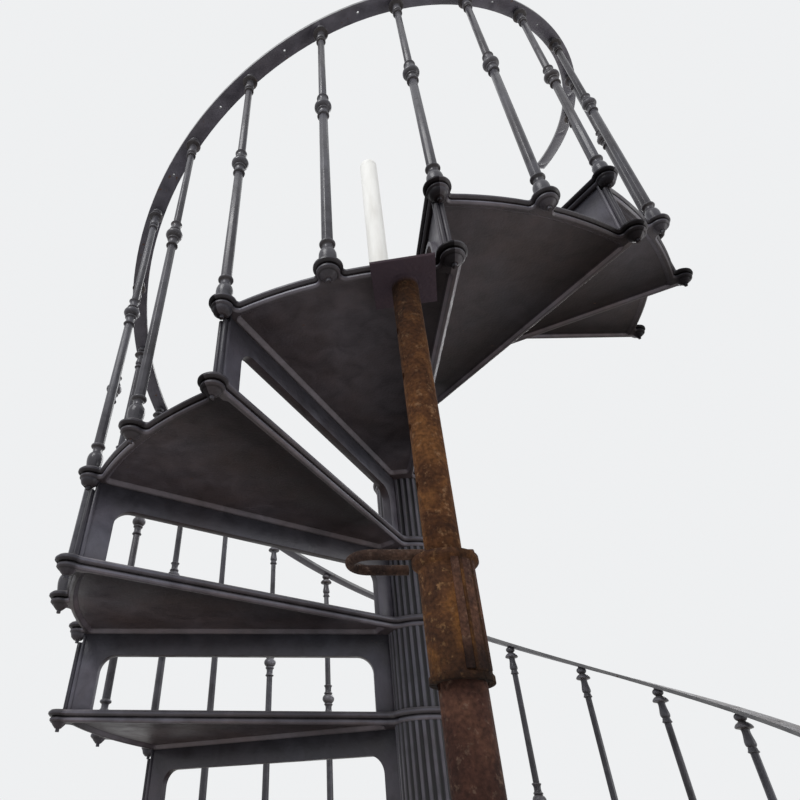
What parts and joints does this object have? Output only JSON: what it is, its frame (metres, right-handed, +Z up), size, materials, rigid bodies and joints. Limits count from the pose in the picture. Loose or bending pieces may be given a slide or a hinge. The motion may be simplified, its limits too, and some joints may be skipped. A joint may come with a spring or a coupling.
{
  "type": "spiral staircase",
  "caption": "Cast-iron spiral staircase on a fluted newel, with open risers, turned balusters, a flat handrail core and an adjustable steel prop.",
  "frame": {"origin": "on the newel's axis at floor level, under the base flange", "axes": "+Z is up along the newel; the first tread starts at -Y and the stair climbs counter-clockwise seen from above"},
  "size_m": [1.785, 1.785, 4.217],
  "materials": {
    "tread_paint": "dark semi-gloss paint on cast iron",
    "riser_paint": "dark semi-gloss paint on cast iron",
    "baluster_paint": "dark semi-gloss paint on cast iron",
    "rail_core": "dark semi-gloss paint on flat bar",
    "newel_paint": "pale satin paint on steel tube",
    "prop_tube": "rusted steel tube",
    "prop_fitting": "rusted casting and bar"
  },
  "bodies": {
    "stair": {"newel_base": "tread_paint", "newel_pole": "newel_paint", "newel_cap": "newel_paint", "step_01": "tread_paint", "step_02": "tread_paint", "step_03": "tread_paint", "step_04": "tread_paint", "step_05": "tread_paint", "step_06": "tread_paint", "step_07": "tread_paint", "step_08": "tread_paint", "step_09": "tread_paint", "step_10": "tread_paint", "step_11": "tread_paint", "step_12": "tread_paint", "step_13": "tread_paint", "step_14": "tread_paint", "step_15": "tread_paint", "riser_01": "riser_paint", "riser_02": "riser_paint", "riser_03": "riser_paint", "riser_04": "riser_paint", "riser_05": "riser_paint", "riser_06": "riser_paint", "riser_07": "riser_paint", "riser_08": "riser_paint", "riser_09": "riser_paint", "riser_10": "riser_paint", "riser_11": "riser_paint", "riser_12": "riser_paint", "riser_13": "riser_paint", "riser_14": "riser_paint", "riser_15": "riser_paint", "balusters_lower": "baluster_paint", "balusters_middle": "baluster_paint", "balusters_upper": "baluster_paint", "handrail_1": "rail_core", "handrail_2": "rail_core", "handrail_3": "rail_core", "handrail_4": "rail_core", "prop_outer_tube": "prop_tube"},
    "prop_head": {"prop_inner_tube": "prop_tube", "prop_casing": "prop_fitting", "prop_pin": "prop_fitting"}
  },
  "joints": [
    {"name": "prop_slide", "type": "slide", "parent": "stair", "child": "prop_head", "axis": [0, 0, 1], "range_m": [-0.1, 0]}
  ]
}
